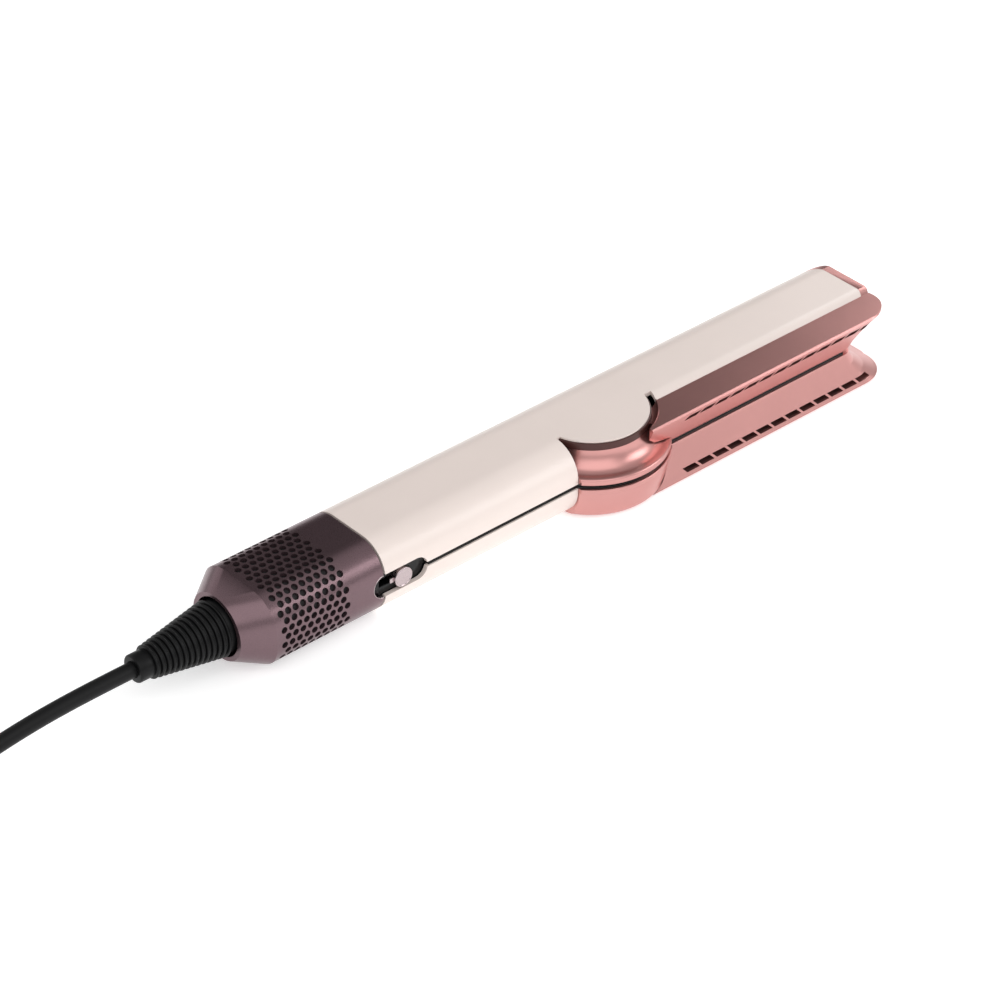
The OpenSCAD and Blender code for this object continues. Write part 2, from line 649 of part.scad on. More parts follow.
// The dark gasket plate of each arm, seen along the split
module liner() {
    liner_y = half_w - 0.6;
    root_y = groove_out - 0.7;
    low = 0.15;
    high = half_gap - 0.05;
    block([hinge_x + 1, cheek + lug_t + 1.5, low], [drum_x, liner_y, high]);
    block([window_x + window_l + 1, -liner_y, low], [handle_l, -cheek - lug_t - 1, high]);
    block([24, -cheek - lug_t - 1.1, low], [drum_x, liner_y, high]);
    block([drum_x - 1, -root_y, low], [tip_x - end_flare - 5.5, liner_y, high]);
    intersection() {
        translate([drum_x, drum_y, low]) cylinder(r = drum_r - 1.1, h = high - low, $fn = 96);
        block([handle_l - 1, -cut_big, 0], [drum_x + drum_r, 0, cut_big]);
    }
}
module upper_liner() color([0.05, 0.05, 0.05]) place() liner();
module lower_liner() color([0.05, 0.05, 0.05]) place() on_side(-1) liner();

// Finned heater in each arm's duct
module heater() {
    fins = floor((tip_x - end_flare - drum_x - 46) / 6);
    block([drum_x + 34, -9, 5.6], [drum_x + 38 + fins * 6, 13, 7]);
    for (i = [0:fins]) block([drum_x + 36 + i * 6, -8, 3], [drum_x + 37 + i * 6, 12, 11]);
}
module upper_heater() color("tan") place() heater();
module lower_heater() color("tan") place() on_side(-1) heater();

// Dark air guide behind the slots
module baffle() along_x(drum_x + drum_r - 4, tip_x - end_flare - 2 - drum_x - drum_r) polygon([
    [-groove_out + 3.4, half_gap + 2], [-groove_out + 2.4, half_gap + 2],
    [-lip_out + 4, lip_z - 3], [-lip_out + 5, lip_z - 3]]);
module upper_baffle() color([0.06, 0.06, 0.06]) place() baffle();
module lower_baffle() color([0.06, 0.06, 0.06]) place() on_side(-1) baffle();

// ---- controls, in a pocket under the lower arm ----

module control_board() color("darkgreen") place() on_side(-1) {
    block([control_x - 6, -7, half_h - 5.6], [control_x + 2 * button_pitch + 8, 7, half_h - 4.2]);
    for (i = [0:2]) translate([control_x + i * button_pitch, 0, half_h - 4.3])
        cylinder(r = 2, h = 0.5, $fn = 32);
}

module display_window() color([0.1, 0.1, 0.12]) place() on_side(-1)
    block([control_x - 23.9, -5.4, half_h - wall - 0.3], [control_x - 7.1, 5.4, half_h - pocket_d - 0.1]);

module push_button(i) on_side(-1) translate([control_x + i * button_pitch, 0, 0]) {
    translate([0, 0, half_h - wall - 0.5]) cylinder(r = button_r, h = wall + 0.2, $fn = 48);
    translate([0, 0, half_h - wall - 0.8]) cylinder(r = button_r + 0.9, h = 0.6, $fn = 48);
}
module power_button() color([0.75, 0.35, 0.35]) place() push_button(0);
module heat_button() color([0.25, 0.2, 0.2]) place() push_button(1);
module airflow_button() color([0.25, 0.2, 0.2]) place() push_button(2);

chassis();
chassis_ring();
rear_bulkhead();
motor_housing();
motor_grommets();
motor_stator();
front_bearing();
rear_bearing();
driver_board();
hinge_pins();
arm_springs();
lock_bezel();
chassis_screws();
cord_boot();
cord_clamp();
power_cord();
cord_tail();
cord_hank();
cord_tie();
plug_body();
plug_pins();
intake_cage();
filter_sleeve();
impeller();
motor_shaft();
motor_magnet();
lock_slider();
lock_knob();
upper_shell();
upper_wing();
upper_drum();
upper_trim();
upper_hinge();
upper_liner();
upper_heater();
upper_baffle();
lower_shell();
lower_wing();
lower_drum();
lower_hinge();
lower_liner();
lower_heater();
lower_baffle();
control_board();
display_window();
power_button();
heat_button();
airflow_button();
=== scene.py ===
"""Air straightener: the looks of each piece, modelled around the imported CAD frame."""

import json
import math

import bpy
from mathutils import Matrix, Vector


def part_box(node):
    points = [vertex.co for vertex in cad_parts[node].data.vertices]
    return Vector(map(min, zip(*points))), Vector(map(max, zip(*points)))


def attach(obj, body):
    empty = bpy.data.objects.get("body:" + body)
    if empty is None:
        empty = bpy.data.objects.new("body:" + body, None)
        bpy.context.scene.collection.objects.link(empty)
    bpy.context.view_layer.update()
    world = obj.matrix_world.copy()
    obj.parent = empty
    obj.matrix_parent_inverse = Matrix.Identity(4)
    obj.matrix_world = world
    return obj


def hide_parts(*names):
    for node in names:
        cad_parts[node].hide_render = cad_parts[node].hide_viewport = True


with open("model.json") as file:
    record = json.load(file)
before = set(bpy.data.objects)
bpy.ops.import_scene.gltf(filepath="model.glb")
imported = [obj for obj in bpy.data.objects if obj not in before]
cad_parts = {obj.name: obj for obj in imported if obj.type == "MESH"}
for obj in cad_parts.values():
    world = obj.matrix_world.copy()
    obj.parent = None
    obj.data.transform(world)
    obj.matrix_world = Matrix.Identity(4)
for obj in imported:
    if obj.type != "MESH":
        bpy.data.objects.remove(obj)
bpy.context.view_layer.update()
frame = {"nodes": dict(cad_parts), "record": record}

bl_info = {
    "name": "Air Straightener",
    "version": (1, 0, 0),
    "blender": (4, 5, 0),
    "location": "View3D > Sidebar > Air Straightener",
    "description": "Builds the straightener's shells, wings, cage, cord and studio around its CAD frame",
    "category": "Add Mesh",
}

MM = 0.001
# Points nearer than this are one point
DOUBLES = 0.000002
CAGE_LOW, CAGE_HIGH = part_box("intake_cage")
# The seam between cage and arms, in the middle of the tool
SEAM = Vector((CAGE_HIGH.x, (CAGE_LOW.y + CAGE_HIGH.y) / 2, (CAGE_LOW.z + CAGE_HIGH.z) / 2))
AXIS_X, AXIS_Y, AXIS_Z = Vector((1, 0, 0)), Vector((0, 1, 0)), Vector((0, 0, 1))


def at(x, y, z):
    """A place given in millimetres from the seam's centre, in the frame's metres."""
    return SEAM + Vector((x, y, z)) * MM


# ---- sizes and colours that a user would change ----


class CordSettings(bpy.types.PropertyGroup):
    """Sizes of the cord and its hank"""

    diameter: bpy.props.FloatProperty(
        name="Diameter", description="Diameter of the power cord", default=0.0062, unit="LENGTH"
    )
    fold_radius: bpy.props.FloatProperty(
        name="Fold radius", description="Radius of the innermost fold of the hank", default=0.0186,
        unit="LENGTH",
    )
    run: bpy.props.FloatProperty(
        name="Run", description="Length of the hank's straight runs", default=0.11, unit="LENGTH"
    )
    step: bpy.props.FloatProperty(
        name="Step", description="Distance between neighbouring turns", default=0.0064, unit="LENGTH"
    )


class FinishSettings(bpy.types.PropertyGroup):
    """Colours and edge width"""

    cream: bpy.props.FloatVectorProperty(
        name="Cream", description="Colour of the moulded shells", subtype="COLOR", size=4,
        default=(0.83, 0.725, 0.675, 1),
    )
    rose: bpy.props.FloatVectorProperty(
        name="Rose", description="Colour of the satin metal wings and drums", subtype="COLOR", size=4,
        default=(0.66, 0.33, 0.31, 1),
    )
    plum: bpy.props.FloatVectorProperty(
        name="Plum", description="Colour of the intake cage", subtype="COLOR", size=4,
        default=(0.20, 0.13, 0.145, 1),
    )
    edge: bpy.props.FloatProperty(
        name="Edge", description="Width of the softened edges of shells and wings", default=0.00025,
        unit="LENGTH",
    )


class StudioSettings(bpy.types.PropertyGroup):
    """Camera and lights"""

    lens: bpy.props.FloatProperty(
        name="Lens", description="Focal length of the camera", default=132.8, unit="CAMERA"
    )
    world: bpy.props.FloatProperty(
        name="World", description="Strength of the pale surroundings", default=0.55
    )
    key: bpy.props.FloatProperty(
        name="Key", description="Power of the main softbox", default=9.0, unit="POWER"
    )


# ---- shader groups ----


def new_group(name, inputs, outputs):
    """An empty shader group with named sockets, and its input and output nodes."""
    group = bpy.data.node_groups.new(name, "ShaderNodeTree")
    for socket, kind, default in inputs:
        made = group.interface.new_socket(socket, in_out="INPUT", socket_type=kind)
        made.default_value = default
    for socket, kind in outputs:
        group.interface.new_socket(socket, in_out="OUTPUT", socket_type=kind)
    return group, group.nodes.new("NodeGroupInput"), group.nodes.new("NodeGroupOutput")


def noise_node(tree, scale, detail=3.0, roughness=0.55):
    node = tree.nodes.new("ShaderNodeTexNoise")
    node.inputs["Scale"].default_value = scale
    node.inputs["Detail"].default_value = detail
    node.inputs["Roughness"].default_value = roughness
    return node


def range_node(tree, source, low, high):
    """Spreads a pattern's middle part over low to high."""
    node = tree.nodes.new("ShaderNodeMapRange")
    node.inputs["From Min"].default_value = 0.3
    node.inputs["From Max"].default_value = 0.7
    node.inputs["To Min"].default_value = low
    node.inputs["To Max"].default_value = high
    tree.links.new(source, node.inputs["Value"])
    return node.outputs["Result"]


def mixed(tree, kind, first, second, share):
    """The two colours mixed by a share, with sockets or plain values for the colours."""
    node = tree.nodes.new("ShaderNodeMix")
    node.data_type = "RGBA"
    node.blend_type = kind
    tree.links.new(share, node.inputs["Factor"])
    for value, socket in ((first, node.inputs[6]), (second, node.inputs[7])):
        if isinstance(value, bpy.types.NodeSocket):
            tree.links.new(value, socket)
        else:
            socket.default_value = value
    return node.outputs[2]


def grain_group():
    """Fine moulded or blasted grain, with a slow drift in tone and gloss."""
    group, entry, out = new_group(
        "Fine Grain",
        [
            ("Colour", "NodeSocketColor", (0.8, 0.8, 0.8, 1)),
            ("Second Colour", "NodeSocketColor", (0.7, 0.7, 0.7, 1)),
            ("Grain Scale", "NodeSocketFloat", 2500.0),
            ("Grain Depth", "NodeSocketFloat", 0.1),
            ("Gloss Low", "NodeSocketFloat", 0.3),
            ("Gloss High", "NodeSocketFloat", 0.4),
        ],
        [
            ("Colour", "NodeSocketColor"),
            ("Roughness", "NodeSocketFloat"),
            ("Normal", "NodeSocketVector"),
        ],
    )
    place = group.nodes.new("ShaderNodeTexCoord")
    fine = noise_node(group, 1.0, 2.0, 0.6)
    group.links.new(place.outputs["Object"], fine.inputs["Vector"])
    group.links.new(entry.outputs["Grain Scale"], fine.inputs["Scale"])
    slow = noise_node(group, 38.0, 4.0, 0.6)
    group.links.new(place.outputs["Object"], slow.inputs["Vector"])
    share = range_node(group, slow.outputs["Fac"], 0.0, 1.0)
    colour = mixed(group, "MIX", entry.outputs["Colour"], entry.outputs["Second Colour"], share)
    gloss = group.nodes.new("ShaderNodeMapRange")
    group.links.new(fine.outputs["Fac"], gloss.inputs["Value"])
    group.links.new(entry.outputs["Gloss Low"], gloss.inputs["To Min"])
    group.links.new(entry.outputs["Gloss High"], gloss.inputs["To Max"])
    bump = group.nodes.new("ShaderNodeBump")
    bump.inputs["Distance"].default_value = 0.00006
    group.links.new(entry.outputs["Grain Depth"], bump.inputs["Strength"])
    group.links.new(fine.outputs["Fac"], bump.inputs["Height"])
    group.links.new(colour, out.inputs["Colour"])
    group.links.new(gloss.outputs["Result"], out.inputs["Roughness"])
    group.links.new(bump.outputs["Normal"], out.inputs["Normal"])
    return group


def brushed_group():
    """Drawn lines along one direction, as on brushed or turned metal."""
    group, entry, out = new_group(
        "Brushed Lines",
        [
            ("Stretch", "NodeSocketVector", (60.0, 4000.0, 4000.0)),
            ("Depth", "NodeSocketFloat", 0.1),
            ("Gloss Low", "NodeSocketFloat", 0.25),
            ("Gloss High", "NodeSocketFloat", 0.4),
        ],
        [
            ("Mask", "NodeSocketFloat"),
            ("Roughness", "NodeSocketFloat"),
            ("Normal", "NodeSocketVector"),
        ],
    )
    place = group.nodes.new("ShaderNodeTexCoord")
    scaled = group.nodes.new("ShaderNodeVectorMath")
    scaled.operation = "MULTIPLY"
    group.links.new(place.outputs["Object"], scaled.inputs[0])
    group.links.new(entry.outputs["Stretch"], scaled.inputs[1])
    lines = noise_node(group, 1.0, 2.0, 0.5)
    group.links.new(scaled.outputs[0], lines.inputs["Vector"])
    gloss = group.nodes.new("ShaderNodeMapRange")
    group.links.new(lines.outputs["Fac"], gloss.inputs["Value"])
    group.links.new(entry.outputs["Gloss Low"], gloss.inputs["To Min"])
    group.links.new(entry.outputs["Gloss High"], gloss.inputs["To Max"])
    bump = group.nodes.new("ShaderNodeBump")
    bump.inputs["Distance"].default_value = 0.00003
    group.links.new(entry.outputs["Depth"], bump.inputs["Strength"])
    group.links.new(lines.outputs["Fac"], bump.inputs["Height"])
    group.links.new(lines.outputs["Fac"], out.inputs["Mask"])
    group.links.new(gloss.outputs["Result"], out.inputs["Roughness"])
    group.links.new(bump.outputs["Normal"], out.inputs["Normal"])
    return group


# ---- materials ----

MATERIALS = {}
GROUPS = {}


def new_material(name):
    """An empty material with its Principled shader."""
    material = bpy.data.materials.new(name)
    material.use_nodes = True
    tree = material.node_tree
    return material, tree, tree.nodes["Principled BSDF"]


def grained(name, colour, second, gloss, grain=(2500.0, 0.12), metallic=0.0, coat=0.0, specular=0.5):
    """A moulded, painted or blasted finish: colour drift, grain bump and uneven gloss."""
    material, tree, shader = new_material(name)
    group = tree.nodes.new("ShaderNodeGroup")
    group.node_tree = GROUPS["grain"]
    group.inputs["Colour"].default_value = (*colour[:3], 1)
    group.inputs["Second Colour"].default_value = (*second[:3], 1)
    group.inputs["Grain Scale"].default_value = grain[0]
    group.inputs["Grain Depth"].default_value = grain[1]
    group.inputs["Gloss Low"].default_value = gloss[0]
    group.inputs["Gloss High"].default_value = gloss[1]
    shader.inputs["Metallic"].default_value = metallic
    shader.inputs["Coat Weight"].default_value = coat
    shader.inputs["Coat Roughness"].default_value = 0.12
    shader.inputs["Specular IOR Level"].default_value = specular
    tree.links.new(group.outputs["Colour"], shader.inputs["Base Color"])
    tree.links.new(group.outputs["Roughness"], shader.inputs["Roughness"])
    tree.links.new(group.outputs["Normal"], shader.inputs["Normal"])
    MATERIALS[name] = material


def brushed(name, colour, second, gloss, stretch, depth=0.1, metallic=1.0):
    """A metal with drawn lines."""
    material, tree, shader = new_material(name)
    group = tree.nodes.new("ShaderNodeGroup")
    group.node_tree = GROUPS["brushed"]
    group.inputs["Stretch"].default_value = stretch
    group.inputs["Depth"].default_value = depth
    group.inputs["Gloss Low"].default_value = gloss[0]
    group.inputs["Gloss High"].default_value = gloss[1]
    tone = mixed(tree, "MIX", (*colour[:3], 1), (*second[:3], 1), group.outputs["Mask"])
    shader.inputs["Metallic"].default_value = metallic
    tree.links.new(tone, shader.inputs["Base Color"])
    tree.links.new(group.outputs["Roughness"], shader.inputs["Roughness"])
    tree.links.new(group.outputs["Normal"], shader.inputs["Normal"])
    MATERIALS[name] = material


def shade(colour, factor):
    """A colour made lighter or darker."""
    return tuple(min(1.0, c * factor) for c in colour[:3])


def make_materials(finish):
    """The finish of every material slot: two tones, the range of gloss, and grain or lines."""
    GROUPS["grain"] = grain_group()
    GROUPS["brushed"] = brushed_group()

    # Painted, blasted and moulded outside surfaces
    grained(
        "cream_shell", finish.cream, shade(finish.cream, 0.97), (0.30, 0.38), (3200.0, 0.10), coat=0.15
    )
    grained(
        "rose_metal", finish.rose, shade(finish.rose, 0.93), (0.27, 0.35), (3800.0, 0.10), metallic=0.92
    )
    grained(
        "plum_metal", finish.plum, shade(finish.plum, 0.88), (0.24, 0.33), (3600.0, 0.14), metallic=0.85
    )
    grained(
        "dark_trim", (0.075, 0.024, 0.020), (0.060, 0.019, 0.016), (0.35, 0.45), (3000.0, 0.1),
        metallic=0.2,
    )
    grained(
        "black_plastic", (0.004, 0.004, 0.0045), (0.006, 0.006, 0.0065), (0.14, 0.24), (2600.0, 0.12),
        specular=0.25,
    )
    grained(
        "black_rubber", (0.002, 0.002, 0.0024), (0.004, 0.004, 0.0044), (0.34, 0.46), (2200.0, 0.25),
        specular=0.2,
    )
    grained(
        "cord_rubber", (0.003, 0.003, 0.0034), (0.005, 0.005, 0.0054), (0.36, 0.48), (1800.0, 0.30),
        specular=0.22,
    )
    grained("tie_strap", (0.02, 0.02, 0.022), (0.03, 0.03, 0.032), (0.6, 0.8), (1500.0, 0.7))
    grained("rose_button", (0.55, 0.20, 0.19), (0.48, 0.17, 0.16), (0.3, 0.4), (2600.0, 0.12))
    grained("dark_button", (0.045, 0.035, 0.036), (0.06, 0.048, 0.05), (0.34, 0.46), (2600.0, 0.15))
    grained(
        "display_glass", (0.006, 0.006, 0.008), (0.01, 0.01, 0.012), (0.04, 0.09), (700.0, 0.02),
        coat=0.6,
    )
    brushed(
        "knob_metal", (0.62, 0.52, 0.52), (0.42, 0.35, 0.37), (0.14, 0.30), (900.0, 900.0, 9000.0), 0.3
    )

    # Parts inside
    brushed(
        "bright_steel", (0.66, 0.66, 0.67), (0.52, 0.52, 0.54), (0.16, 0.3), (9000.0, 600.0, 9000.0),
        0.15,
    )
    brushed(
        "light_alloy", (0.58, 0.58, 0.60), (0.48, 0.48, 0.50), (0.3, 0.45), (900.0, 5000.0, 5000.0), 0.2
    )
    brushed(
        "copper_winding", (0.62, 0.26, 0.10), (0.42, 0.15, 0.05), (0.2, 0.4), (2500.0, 2500.0, 200.0),
        0.6,
    )
    grained("dark_nylon", (0.035, 0.035, 0.037), (0.05, 0.05, 0.052), (0.45, 0.6), (1600.0, 0.3))
    grained("magnet", (0.11, 0.11, 0.12), (0.08, 0.08, 0.085), (0.3, 0.42), (2400.0, 0.2), metallic=0.9)
    grained("circuit_board", (0.012, 0.10, 0.035), (0.02, 0.14, 0.05), (0.25, 0.5), (900.0, 0.4))
    grained("heater_ceramic", (0.55, 0.48, 0.38), (0.46, 0.40, 0.31), (0.6, 0.8), (1300.0, 0.5))
    grained("filter_mesh", (0.018, 0.015, 0.017), (0.008, 0.007, 0.008), (0.5, 0.8), (5200.0, 0.9))


# ---- modelling helpers ----


def deselect():
    """Leaves nothing selected."""
    bpy.ops.object.select_all(action="DESELECT")


def take(piece):
    """Makes one piece the only selected and active one."""
    deselect()
    piece.select_set(True)
    bpy.context.view_layer.objects.active = piece


def settle(piece):
    """Writes a piece's place into its mesh."""
    take(piece)
    bpy.ops.object.transform_apply(location=True, rotation=True, scale=True)


def edit():
    """Opens the active piece's mesh with everything selected."""
    bpy.ops.object.mode_set(mode="EDIT")
    bpy.ops.mesh.select_all(action="SELECT")


def done():
    """Goes back to whole pieces."""
    bpy.ops.object.mode_set(mode="OBJECT")


def modified(piece, kind, **values):
    """Adds a modifier, sets its values and applies it."""
    take(piece)
    bpy.ops.object.modifier_add(type=kind)
    modifier = piece.modifiers[-1]
    for key, value in values.items():
        setattr(modifier, key, value)
    bpy.ops.object.modifier_apply(modifier=modifier.name)


def outwards(piece):
    """Merges a piece's doubles and turns its faces outwards."""
    take(piece)
    edit()
    bpy.ops.mesh.remove_doubles(threshold=DOUBLES)
    bpy.ops.mesh.normals_make_consistent(inside=False)
    done()


def smooth(piece, angle=35.0):
    """Shades a piece smooth, apart from edges sharper than an angle."""
    take(piece)
    bpy.ops.object.shade_smooth_by_angle(angle=math.radians(angle))


def finish_piece(piece, name, body, slot, *nodes):
    """Names a finished piece, gives it its material and body, and hides the CAD nodes it takes the place
    of.
    """
    settle(piece)
    piece.name = name
    piece.data.name = name
    piece.data.materials.clear()
    piece.data.materials.append(MATERIALS[slot])
    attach(piece, body)
    if nodes:
        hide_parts(*nodes)


def spun(centre, axis, outward, profile, steps=96):
    """A turned piece: its profile's points are millimetres along the axis and out from it."""
    deselect()
    bpy.ops.mesh.primitive_plane_add(size=MM, location=centre)
    piece = bpy.context.object
    settle(piece)
    edit()
    bpy.ops.mesh.merge(type="CENTER")
    here = Vector(centre)
    for number, (along, out) in enumerate(profile):
        there = centre + (axis * along + outward * out) * MM
        if number == 0:
            bpy.ops.transform.translate(value=there - here)
        else:
            bpy.ops.mesh.extrude_vertices_move(TRANSFORM_OT_translate={"value": there - here})
        here = there
    bpy.ops.mesh.select_all(action="SELECT")
    bpy.ops.mesh.spin(steps=steps, angle=2 * math.pi, center=centre, axis=axis)
    done()
    outwards(piece)
    return piece


def cut(piece, point, normal):
    """Cuts a piece by a plane and takes away what lies on the normal's side."""
    take(piece)
    edit()
    bpy.ops.mesh.bisect(plane_co=point, plane_no=normal, use_fill=True, clear_outer=True)
    done()


def softened(node, edge, limit=28.0, angle=35.0, segments=2):
    """A copy of a CAD node with its doubles merged, flat faces joined and sharp edges rounded."""
    source = frame["nodes"][node]
    piece = bpy.data.objects.new(node + "_skin", source.data.copy())
    bpy.context.scene.collection.objects.link(piece)
    take(piece)
    bpy.ops.mesh.customdata_custom_splitnormals_clear()
    edit()
    bpy.ops.mesh.remove_doubles(threshold=DOUBLES)
    bpy.ops.mesh.dissolve_limited(angle_limit=math.radians(0.4))
    done()
    if edge > 0:
        modified(piece, "BEVEL", width=edge, segments=segments, limit_method="ANGLE",
                 angle_limit=math.radians(limit))
    smooth(piece, angle)
    modified(piece, "WEIGHTED_NORMAL", keep_sharp=True, weight=60)
    return piece


# ---- cord ----

# From the boot to the hank, in millimetres
CORD_ROUTE = [
    (-96, 0, 0), (-106, 0, 0), (-116, 0, -0.1), (-126, 0, -0.4), (-136, 0, -1), (-146, 0, -2),
    (-156, 0.2, -3.5), (-166, 1, -5.4), (-176, 2.6, -7.5), (-186, 5, -9.5), (-196, 8, -11.1),
    (-206, 11.2, -12), (-216, 14.2, -12.1), (-226, 16.5, -12.1), (-233, 17.4, -12.1),
]
# From the hank back round to the plug
TAIL_ROUTE = [
    (-280, -44.8, -1.2), (-270, -44.8, -0.4), (-258, -44.8, 0.2), (-245, -44.8, 0.3), (-236, -43.4, 0.3),
    (-228, -39, 0.3), (-221.5, -32, 0.3), (-217.5, -23, 0.3), (-217, -13.4, 0.3), (-219.5, -4.5, 0.3),
    (-225.5, 2, 0.3), (-234, 5.6, 0.3), (-244, 6.2, 0.3), (-254, 4.2, 0.3), (-264, 0.2, 0.3),
    (-274, -4.8, 0.4), (-284, -9.4, 1), (-294, -12.4, 2.4), (-304, -13.4, 4.4), (-312, -13.4, 5.8),
    (-320, -13.4, 6.2),
]
HANK_X, HANK_Y = -245, -13.4
TABLE = -15.2
PLUG_X, PLUG_Z = -320, 6.2


def hank_turns(settings):
    """The folded cord's own line: two layers of turns, inwards and then outwards."""
    step, inner, run = settings.step / MM, settings.fold_radius / MM, settings.run / MM
    thick = settings.diameter / MM
    radii = [inner + 2 * step, inner + step, inner, inner, inner + step, inner + 2 * step]
    levels = [TABLE + thick * (0.5 + layer) for layer in (0, 0, 0, 1, 1, 1)]
    points = []
    for turn, radius in enumerate(radii):
        level = levels[turn]
        for share in (0, 0.25, 0.5, 0.75):
            points.append((HANK_X - run * share, HANK_Y + radius, level))
        for number in range(11):
            angle = math.pi * number / 10
            across = radius * math.cos(angle)
            points.append((HANK_X - run - radius * math.sin(angle), HANK_Y + across, level))
        if turn == len(radii) - 1:
            points.append((HANK_X - run * 0.75, HANK_Y - radius, level + 0.25 * thick))
            points.append((HANK_X - run * 0.5, HANK_Y - radius, level + 0.6 * thick))
            break
        rise = levels[turn + 1] - level
        for share, part in ((0.25, 0.15), (0.5, 0.5), (0.75, 0.85)):
            points.append((HANK_X - run * (1 - share), HANK_Y - radius, level + rise * part))
        for number in range(10):
            share = number / 10
            now = radius + (radii[turn + 1] - radius) * share
            angle = math.pi * share
            points.append((HANK_X + now * math.sin(angle), HANK_Y - now * math.cos(angle), level + rise))
    return points


def make_cord(settings):
    """The whole cord as one curve with a round section."""
    line = CORD_ROUTE + hank_turns(settings) + TAIL_ROUTE
    curve = bpy.data.curves.new("cord", "CURVE")
    curve.dimensions = "3D"
    curve.bevel_depth = settings.diameter / 2
    curve.bevel_resolution = 4
    curve.resolution_u = 4
    curve.use_fill_caps = True
    spline = curve.splines.new("BEZIER")
    spline.bezier_points.add(len(line) - 1)
    for point, place in zip(spline.bezier_points, line):
        point.co = at(*place)
        point.handle_left_type = "AUTO"
        point.handle_right_type = "AUTO"
    cord = bpy.data.objects.new("cord", curve)
    bpy.context.scene.collection.objects.link(cord)
    curve.materials.append(MATERIALS["cord_rubber"])
    bpy.context.view_layer.update()
    length = spline.calc_length()
    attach(cord, "base")
    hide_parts("power_cord", "cord_tail", "cord_hank")
    return cord, length


# ---- drums, boot, knob and small parts ----

# The drums' axis, the end of the handle, and the shell's edge along each drum and wing
DRUM_X, DRUM_Y = 116.6, -1.8
HANDLE_END = 93.65
DRUM_EDGE = -8.45
WING_EDGE = -13.4
TURNED_STEPS = 160


def arc(middle, radii, start, end, count=10):
    """Points of a round stretch, as (along, out) pairs, between two angles in degrees."""
    points = []
    for number in range(count + 1):
        angle = math.radians(start + (end - start) * number / count)
        points.append((middle[0] + radii[0] * math.cos(angle), middle[1] + radii[1] * math.sin(angle)))
    return points


def thickened(outer, wall):
    """An open outline with a second one behind it, as a closed loop."""
    inner = [(along, out - wall) for along, out in reversed(outer)]
    return outer + inner + outer[:1]


def drum_turned(profile):
    """A piece turned about the drums' axis."""
    return spun(at(DRUM_X, DRUM_Y, 0), AXIS_Z, -AXIS_X, profile, TURNED_STEPS)


def trimmed(piece):
    """Keeps what shows of a turned piece, outside the shell and past the handle."""
    cut(piece, at(0, DRUM_EDGE, 0), AXIS_Y)
    cut(piece, at(HANDLE_END, 0, 0), -AXIS_X)


def upper_drum():
    """The cove and rim above the split."""
    rim = [(1.0, 30.45), *arc((1.4, 30.4), (0.4, 0.4), 180, 90, 3), (2.6, 30.8)]
    rim += arc((2.8, 29.9), (0.8, 0.85), 90, 10, 5)
    cove = arc((12.7, 29.0), (8.9, 6.6), 180, 270, 22)
    return drum_turned(thickened(rim + cove + [(13.0, 22.3)], 1.6))


def lower_drum():
    """The rim, crease and rounded wall below the split."""
    rim = [(-1.0, 30.4), *arc((-1.4, 30.4), (0.4, 0.4), 0, 90, 3)]
    rim += [(-2.2, 30.8), *arc((-2.3, 30.3), (0.5, 0.5), 90, 180, 4)]
    wall = [(-3.0, 30.0), (-3.4, 30.1), (-7.5, 29.7), (-11.0, 28.9)]
    floor = arc((-11.6, 25.4), (3.6, 3.4), 90, 180, 8)
    outer = rim + wall + floor + [(-15.2, 0)]
    inner = [(-13.8, 0), (-13.8, 25.0), (-11.0, 27.2), (-1.0, 28.8), rim[0]]
    return drum_turned(outer + inner)


def trim():
    """The dark crescent under the cap's edge."""
    band = [(11.6, 22.1), (11.6, 23.0), *arc((14.2, 22.7), (0.3, 0.3), 90, 0, 4)]
    band += [(14.5, 21.9), (11.6, 22.1)]
    return drum_turned(band)


def collar():
    """The bright wall that carries the cove up to the wing's top."""
    face = [(11.6, 22.4), *arc((15.0, 22.4), (3.4, 3.0), 180, 90, 10), (15.1, 25.45)]
    back = [(15.1, 25.58), (12.6, 25.58), (10.8, 24.4), (10.6, 22.4), (11.6, 22.4)]
    return drum_turned(face + back)


def boot():
    """The tapering cord boot, with a plain collar and rounded ribs."""
    length, seat, ribs, plain = 36.9, 4.0, 14, 6.0
    bore, small, large, groove = 3.2, 5.4, 11.3, 1.15
    crown, margin = 0.42, 0.6
    pitch = (length - plain - margin) / ribs
    outer = [(0.0, bore), (0.0, 4.6), *arc((0.8, 4.6), (0.8, 0.8), 180, 90, 4), (plain - 0.8, small)]
    for number in range(ribs):
        start = plain + number * pitch
        top = small + (large - small) * (start + pitch * 0.4) / length
        low = top - groove
        outer.append((start - pitch * 0.18, low))
        outer.append((start + pitch * 0.02, low))
        outer += arc((start + pitch * 0.3, top - crown), (pitch * 0.24, crown), 180, 0, 8)
        outer.append((start + pitch * 0.6, low))
    outer += [(length - margin, large - 1.1), (length + seat, large - 1.1), (length + seat, bore)]
    outer += [(0.0, bore)]
    return spun(at(*CORD_ROUTE[0]), AXIS_X, AXIS_Z, outer, 72)


def plug():
    """The moulded plug, with a ribbed neck and a waisted grip."""
    outer = [(0.0, 0.0), (0.0, 3.9)]
    for number in range(5):
        start = 0.6 + number * 2.2
        radius = 4.3 + number * 0.45
        outer += [(start, radius - 0.7), (start + 0.3, radius)]
        outer += [(start + 1.4, radius + 0.2), (start + 1.6, radius - 0.6)]
    outer += [(12.0, 6.2), *arc((16.0, 6.9), (3.0, 2.1), 180, 90, 6), (18.0, 8.9)]
    outer += [(20.0, 8.2), (24.0, 7.7), (28.0, 8.2), (31.0, 8.9)]
    outer += [*arc((36.6, 7.6), (1.4, 1.4), 90, 0, 5), (38.0, 0.0)]
    return spun(at(PLUG_X, HANK_Y, PLUG_Z), -AXIS_X, AXIS_Z, outer, 64)


